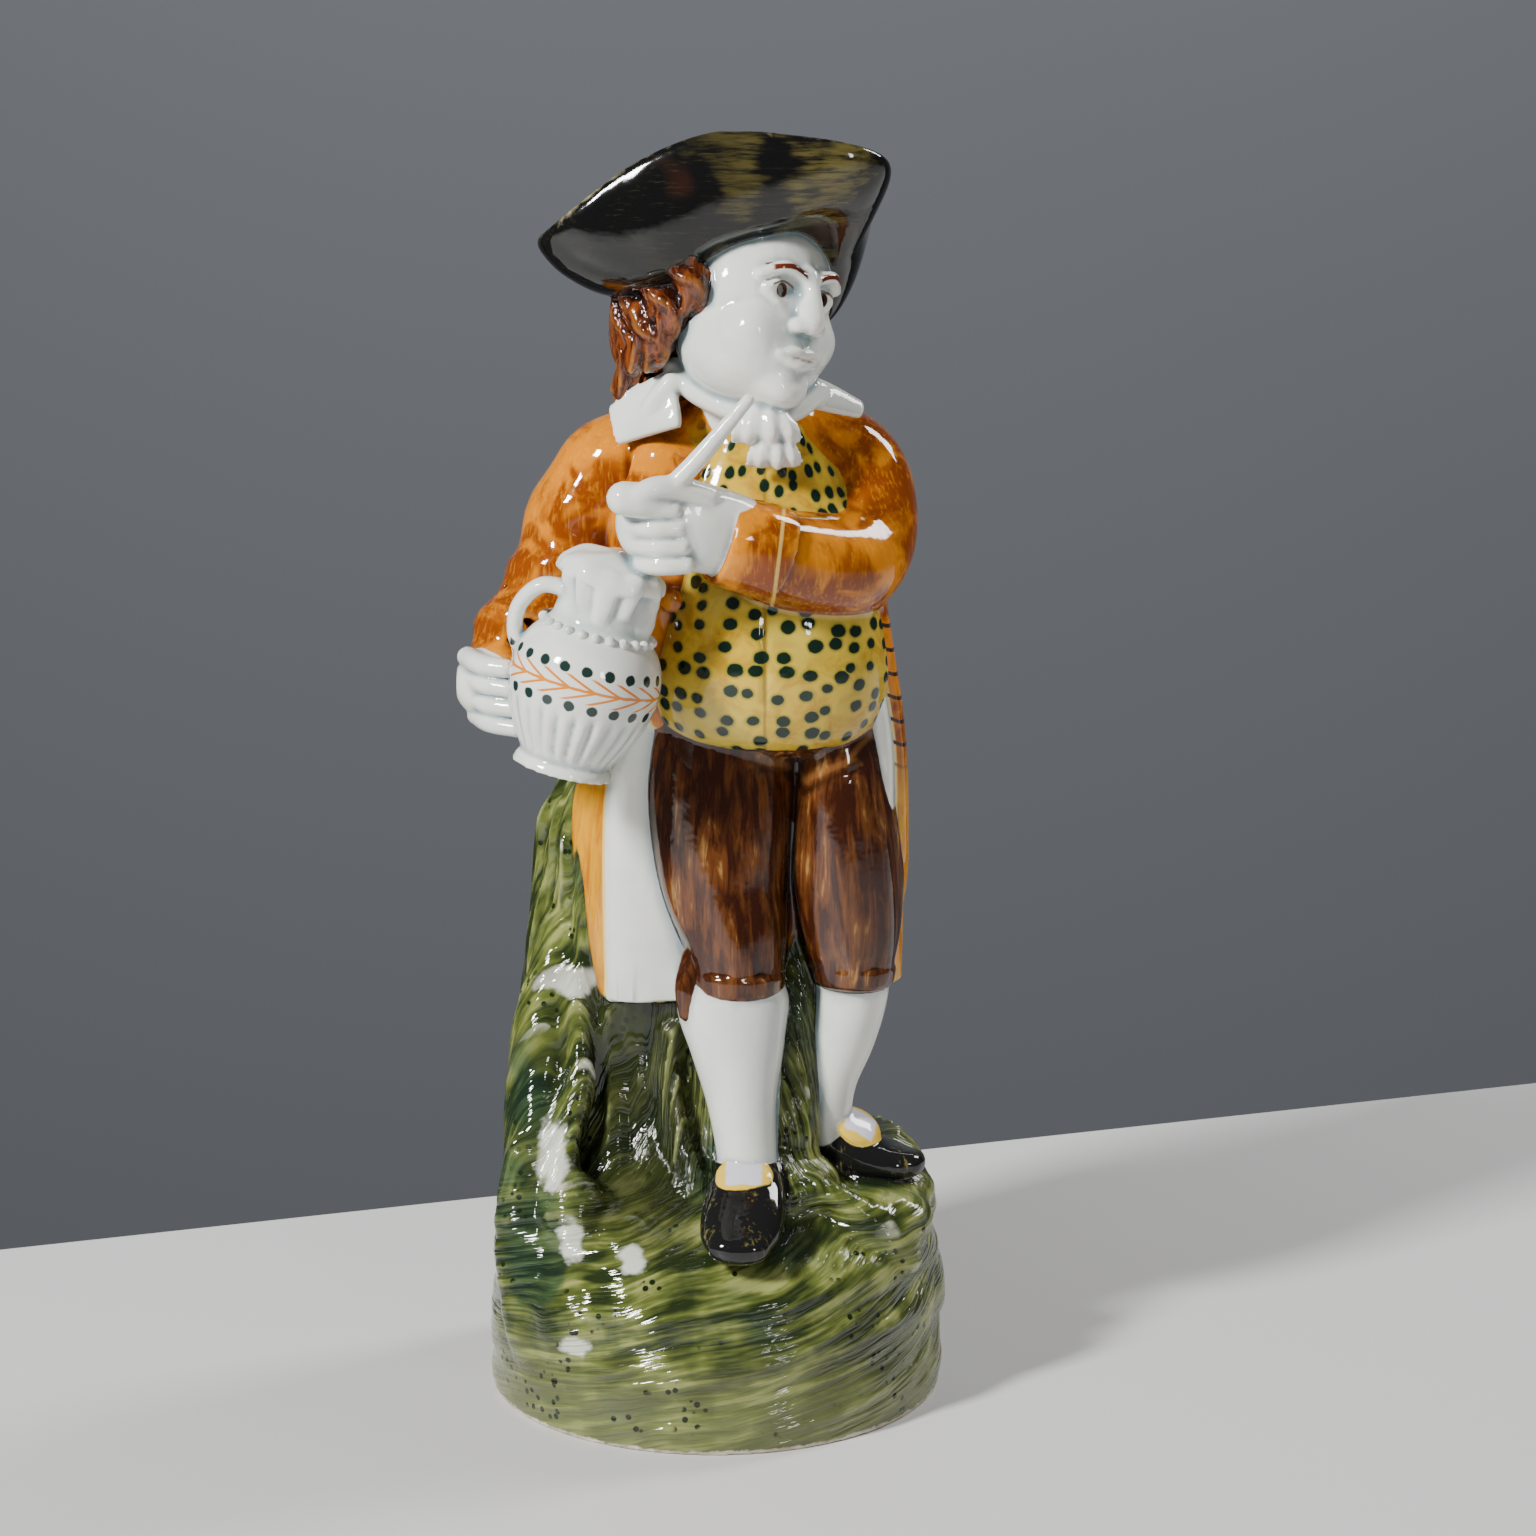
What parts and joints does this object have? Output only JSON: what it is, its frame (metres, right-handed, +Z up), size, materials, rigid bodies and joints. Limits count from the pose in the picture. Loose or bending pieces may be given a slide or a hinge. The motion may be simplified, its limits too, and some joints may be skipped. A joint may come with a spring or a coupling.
{
  "type": "toby jug",
  "caption": "Hollow glazed jug in the form of a standing man in a cocked hat who holds a small ale jug and a pipe, on a rocky mound, with a strap handle behind.",
  "frame": {"origin": "centre of the round underside, on the surface it stands on", "axes": "+Z up, the figure's chest towards -Y and the strap handle towards +Y, +X to the figure's left"},
  "size_m": [0.111, 0.1073, 0.2925],
  "materials": {
    "glazed_earthenware": "gloss"
  },
  "bodies": {
    "root": {"toby_jug": "glazed_earthenware"}
  },
  "joints": []
}
